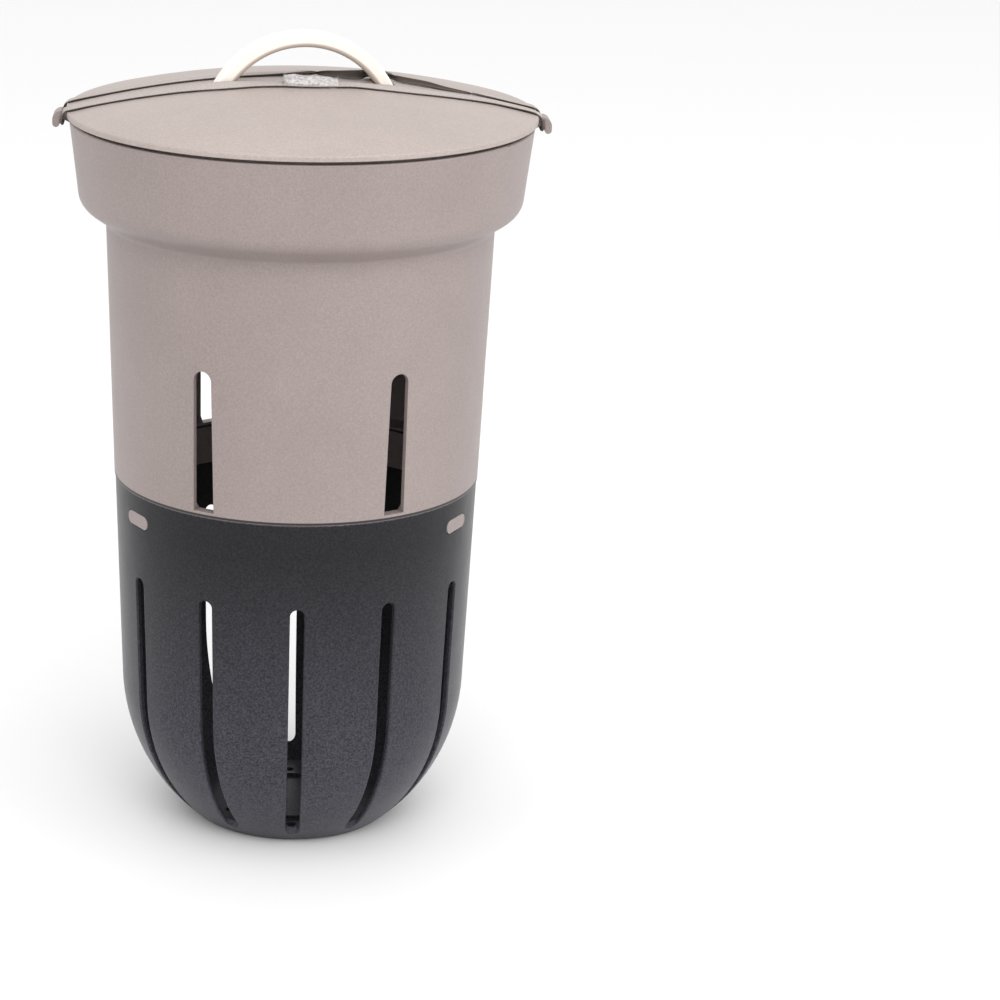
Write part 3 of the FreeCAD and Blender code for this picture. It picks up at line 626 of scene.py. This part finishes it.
def hook_places(side, front, spread=1.0):
    """The outer and inner edge of the band beside a hook, from the lid's edge downwards.

    Side is -1 for the left hook and 1 for the right one, front -1 for the front strand and 1 for
    the back one, and spread the share of its width that the band keeps.
    """
    places = []
    for radius, outer, outer_z, inner, inner_z in PAST_HOOK:
        outer = inner + spread * (outer - inner)
        places.append(tuple(
            Vector((side * math.sqrt(radius ** 2 - y ** 2), front * y, z)) * MM
            for y, z in ((outer, outer_z), (inner, inner_z))))
    return places


def band_loop(dome):
    """Pairs of outer and inner edge places once round the band, from the left hook."""
    front = strand_places(dome, FRONT_STRAND)
    back = [(far, near) for near, far in strand_places(dome, BACK_STRAND)]
    return (hook_places(-1, -1)[::-1] + front + hook_places(1, -1, RIGHT_FRONT_SPREAD)
            + hook_places(1, 1)[::-1] + back[::-1] + hook_places(-1, 1))


def curve_point(points, place):
    """The point at a place along a smooth closed curve through the points."""
    count = len(points)
    index = int(place) % count
    part = place - int(place)
    before, start, end, after = (points[(index + step) % count] for step in (-1, 0, 1, 2))
    reach = (end - start).length
    start_turn = (end - before).normalized() * reach
    end_turn = (after - start).normalized() * reach
    square, cube = part * part, part * part * part
    return (start * (2 * cube - 3 * square + 1) + start_turn * (cube - 2 * square + part)
            + end * (3 * square - 2 * cube) + end_turn * (cube - square))


def even_places(points, steps):
    """Places along the closed curve that stand evenly far apart, and the curve's length."""
    between = 20
    fine = [step / between for step in range(between * len(points))]
    spots = [curve_point(points, place) for place in fine]
    travelled = [0.0]
    for number, spot in enumerate(spots):
        travelled.append(travelled[-1] + (spots[(number + 1) % len(spots)] - spot).length)
    places = []
    number = 0
    for step in range(steps):
        goal = travelled[-1] * step / steps
        while travelled[number + 1] < goal:
            number += 1
        part = (goal - travelled[number]) / (travelled[number + 1] - travelled[number])
        places.append(fine[number] + part / between)
    return places, travelled[-1]


class Strap:
    """The band's loop as sections: a middle, half its width and its upward normal."""
    # Waves across the strap where it is gathered.
    folds = 1.5

    def __init__(self, dome, steps, width):
        loop = band_loop(dome)
        outer = [pair[0] for pair in loop]
        inner = [pair[1] for pair in loop]
        middle = [(pair[0] + pair[1]) / 2 for pair in loop]
        places, self.length = even_places(middle, steps)
        self.width = width
        self.sections = []
        edges = [(curve_point(outer, place), curve_point(inner, place)) for place in places]
        for number, (first, second) in enumerate(edges):
            ahead = edges[(number + 1) % steps]
            behind = edges[number - 1]
            travel = ahead[0] + ahead[1] - behind[0] - behind[1]
            half = (second - first) / 2
            self.sections.append(((first + second) / 2, half, travel.cross(half).normalized()))

    def place(self, number, across, lift, fold):
        """A point of the strap: across runs from -1 at the outer edge to 1 at the inner one.

        The narrower the strap is gathered, the deeper it folds lengthwise.
        """
        middle, half, normal = self.sections[number % len(self.sections)]
        gathered = 1 - min(1.0, 2 * half.length / self.width)
        ripple = fold * min(1.0, 2 * gathered) * math.cos(self.folds * math.pi * across)
        return middle + half * across + normal * (lift + ripple)


class WORMERY_OT_band(bpy.types.Operator):
    """The woven elastic band: flat on the lid, bunched under the hooks"""
    bl_idname = "wormery.band"
    bl_label = "Elastic band"
    # Faces round the strap's section, and how square the section is: 2 is round.
    around = 36
    squareness = 12

    def execute(self, context):
        band = context.scene.wormery_band
        strap = Strap(lid_dome(), band.steps, band.width)
        bm = bmesh.new()
        weave = bm.loops.layers.uv.new("weave")
        side = bm.loops.layers.uv.new("side")
        bmesh.ops.create_grid(bm, x_segments=band.steps, y_segments=self.around, size=0.5)
        spots = {}
        for vert in bm.verts:
            number = round((vert.co.x + 0.5) * band.steps)
            across, rise = self.section(vert.co.y)
            lift = band.thickness / 2 * (1 + rise)
            spots[vert] = strap.place(number, across, lift, band.fold_depth)
        for face in bm.faces:
            for loop in face.loops:
                across, rise = self.section(loop.vert.co.y)
                loop[weave].uv = ((loop.vert.co.x + 0.5) * strap.length, across * band.width / 2)
                # The side layer holds painted shade: the reverse side and the web beside the hooks.
                loop[side].uv = (self.darkness(rise, spots[loop.vert].z), 0)
        for vert, spot in spots.items():
            vert.co = spot
        bmesh.ops.remove_doubles(bm, verts=bm.verts, dist=0.02 * MM)
        smooth(bm)
        obj = new_object("woven_band", bm)
        obj.data.materials.append(self.webbing(context.scene.wormery_finish))
        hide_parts("elastic_band")
        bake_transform(obj)
        return {"FINISHED"}

    def section(self, around):
        """How far across and how far up a vertex of the grid stands in the strap's section."""
        turn = (around + 0.5) * 2
        top = turn <= 1
        across = -math.cos(math.pi * (turn if top else 2 - turn))
        rise = math.sqrt(max(0.0, 1 - across ** self.squareness))
        return across, rise if top else -rise

    def darkness(self, rise, height):
        """Painted shade on the web: on its reverse side, and where it is gathered beside the hooks.
        """
        gathered = (GATHER_HEIGHT - height) / GATHER_DEPTH
        return max(0.5 - 0.5 * rise, HOOK_SHADE_SHARE * min(1.0, max(0.0, gathered)))

    def webbing(self, finish):
        """Lengthwise cords crossed by a fine weave, with painted shade on its edges, its reverse
        and beside the hooks.
        """
        material, tree, shader = node_tree("elastic_web")
        weave = add(tree, "ShaderNodeUVMap", uv_map="weave").outputs["UV"]
        side = add(tree, "ShaderNodeUVMap", uv_map="side").outputs["UV"]
        cords = texture(tree, "ShaderNodeTexWave", weave, Scale=310.0, Distortion=0.6, Detail=1.0,
                        bands_direction="Y")
        picks = texture(tree, "ShaderNodeTexWave", weave, Scale=420.0, Distortion=1.2, Detail=1.0,
                        bands_direction="X")
        mottle = texture(tree, "ShaderNodeTexNoise", weave, Scale=900.0, Detail=3.0,
                         Roughness=0.65)
        crossings = calculate(tree, "MULTIPLY", cords, picks)
        threads = calculate(tree, "MULTIPLY_ADD", crossings, 0.5, mottle)
        face = ramp(tree, threads, finish.web_shade, finish.web_colour, 0.30, 0.62)
        reverse = ramp(tree, threads, shade(finish.reverse_shade_colour, 0.6), finish.reverse_shade_colour,
                       0.30, 0.62)
        # Painted shade on the reverse side and beside the hooks.
        tint = mix(tree, component(tree, side, "X"), face, reverse)
        from_middle = calculate(tree, "ABSOLUTE", component(tree, weave, "Y"))
        # Painted shade along the band's edges.
        web_edge_shade = map_range(tree, from_middle, *WEB_EDGE_SHADE_REACH)
        tint = mix(tree, web_edge_shade, tint, (*finish.web_edge_shade_colour, 1))
        tree.links.new(tint, shader.inputs["Base Color"])
        shader.inputs["Roughness"].default_value = 0.85
        shader.inputs["Specular IOR Level"].default_value = 0.25
        bumps(tree, shader, threads, 0.5, 0.3 * MM)
        return material


class WORMERY_OT_join(bpy.types.Operator):
    """The soft sewn sleeve over the band's joined ends, with its seams and loose fibres"""
    bl_idname = "wormery.join"
    bl_label = "Band join"
    # How square the cushion is: 2 is round.
    squareness = 7
    # How far the join is moved back across the strand and held off it, in millimetres, and how it
    # is tipped round the strand's direction and across it.
    shift = 0.6
    gap = 0.1
    tip = math.radians(9)
    lean = math.radians(4)
    # The seams: where they lie and half their width as shares of the join's half length, and how
    # deep they are in millimetres.
    seam_place = 0.86
    seam_half_width = 0.045
    seam_depth = 0.45

    def execute(self, context):
        band = context.scene.wormery_band
        strap = Strap(lid_dome(), band.steps, band.width)
        noise.seed_set(7)
        bm = bmesh.new()
        bmesh.ops.create_cube(bm, size=2.0)
        bmesh.ops.subdivide_edges(bm, edges=bm.edges, cuts=31, use_grid_fill=True)
        sizes = (band.join_length / 2, band.join_width / 2, band.join_thickness / 2)
        axes = self.axes(strap, band)
        for vert in bm.verts:
            vert.co = axes @ self.pillow(vert.co, sizes)
        self.add_fibres(bm, axes, sizes, band.fibres)
        smooth(bm)
        obj = new_object("sewn_join", bm)
        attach(obj, "lid")
        obj.data.materials.append(self.felt(context.scene.wormery_finish))
        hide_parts("band_join")
        return {"FINISHED"}

    def axes(self, strap, band):
        """The join's own axes: along the strap, across it and up from it."""
        front = [number for number, (middle, _, _) in enumerate(strap.sections)
                 if middle.y < 0 and abs(middle.x - band.join_place) < band.join_length / 2]
        start, end = strap.sections[front[0]], strap.sections[front[-1]]
        along = (end[0] - start[0]).normalized()
        across = (start[1] + end[1]).normalized()
        up = along.cross(across).normalized()
        across = up.cross(along)
        middle = ((start[0] + end[0]) / 2 + across * self.shift * MM
                  + up * (band.join_thickness / 2 + self.gap * MM))
        turn = Matrix((along, across, up)).transposed().to_4x4()
        return (Matrix.Translation(middle) @ turn @ Matrix.Rotation(self.tip, 4, "X")
                @ Matrix.Rotation(self.lean, 4, "Y"))

    def pillow(self, corner, sizes):
        """A cube's point moved to a rounded, slightly lumpy cushion."""
        power = self.squareness
        reach = sum(abs(value) ** power for value in corner) ** (1 / power)
        ball = corner / reach
        spot = Vector(value * size for value, size in zip(ball, sizes))
        rough = noise.noise(spot * 900) * 0.28 + noise.noise(spot * 2600) * 0.22
        wave = noise.noise(Vector((spot.x * 160, spot.y * 160, 3.0))) * 0.5
        in_seam = abs(abs(ball.x) - self.seam_place) < self.seam_half_width and ball.z > 0.5
        seam = -self.seam_depth if in_seam else 0.0
        outward = Vector(value ** power for value in ball).normalized()
        spot += outward * rough * MM
        spot.z += (wave + seam) * MM
        ragged = noise.noise(Vector((spot.x * 220, 7.0, 1.0))) * 0.9
        spot.y += ragged * MM * abs(ball.y)
        return spot

    def add_fibres(self, bm, axes, sizes, count):
        """Short loose fibres that stand out of the cushion."""
        for _ in range(count):
            seed = noise.random_unit_vector()
            ball = Vector((seed.x, seed.y, abs(seed.z)))
            reach = max(abs(value) for value in ball)
            root = Vector(value * size * 0.97 for value, size in zip(ball / reach, sizes))
            lean = (noise.random_unit_vector() * 0.8 + ball).normalized()
            length = (0.7 + 0.9 * noise.random()) * MM
            turn = lean.to_track_quat("Z", "Y").to_matrix().to_4x4()
            place = axes @ Matrix.Translation(root + lean * length / 2) @ turn
            bmesh.ops.create_cone(bm, cap_ends=True, segments=3, radius1=0.09 * MM,
                                  radius2=0.02 * MM, depth=length, matrix=place)

    def felt(self, finish):
        """Pale matted fibre with darker specks."""
        material, tree, shader = node_tree("join_fabric")
        matting = texture(tree, "ShaderNodeTexNoise", object_coordinates(tree), Scale=420.0,
                          Detail=4.0, Roughness=0.7)
        tint = ramp(tree, matting, shade(finish.join_colour, 0.52), finish.join_colour, 0.36, 0.58)
        tree.links.new(tint, shader.inputs["Base Color"])
        shader.inputs["Roughness"].default_value = 0.95
        bumps(tree, shader, matting, 0.6, 0.4 * MM)
        return material


OPERATORS = (WORMERY_OT_stage, WORMERY_OT_basket, WORMERY_OT_body, WORMERY_OT_lid,
             WORMERY_OT_handle, WORMERY_OT_band, WORMERY_OT_join)


class WORMERY_PT_panel(bpy.types.Panel):
    """Lists the wormery's pieces in the sidebar"""
    bl_idname = "WORMERY_PT_panel"
    bl_label = "Wormery"
    bl_space_type = "VIEW_3D"
    bl_region_type = "UI"
    bl_category = "Wormery"

    def draw(self, context):
        scene = context.scene
        for group in (scene.wormery_finish, scene.wormery_band, scene.wormery_stage):
            for name in group.__annotations__:
                self.layout.prop(group, name)
        for operator in OPERATORS:
            self.layout.operator(operator.bl_idname)


CLASSES = (WormeryFinish, WormeryBand, WormeryStage, *OPERATORS, WORMERY_PT_panel)


def register():
    for item in CLASSES:
        bpy.utils.register_class(item)
    bpy.types.Scene.wormery_finish = PointerProperty(type=WormeryFinish)
    bpy.types.Scene.wormery_band = PointerProperty(type=WormeryBand)
    bpy.types.Scene.wormery_stage = PointerProperty(type=WormeryStage)


def unregister():
    del bpy.types.Scene.wormery_stage
    del bpy.types.Scene.wormery_band
    del bpy.types.Scene.wormery_finish
    for item in reversed(CLASSES):
        bpy.utils.unregister_class(item)


def main():
    register()
    bpy.ops.wormery.stage()
    bpy.ops.wormery.basket()
    bpy.ops.wormery.upper_body()
    bpy.ops.wormery.lid()
    bpy.ops.wormery.handle()
    bpy.ops.wormery.band()
    bpy.ops.wormery.join()


if __name__ == "__main__":
    main()
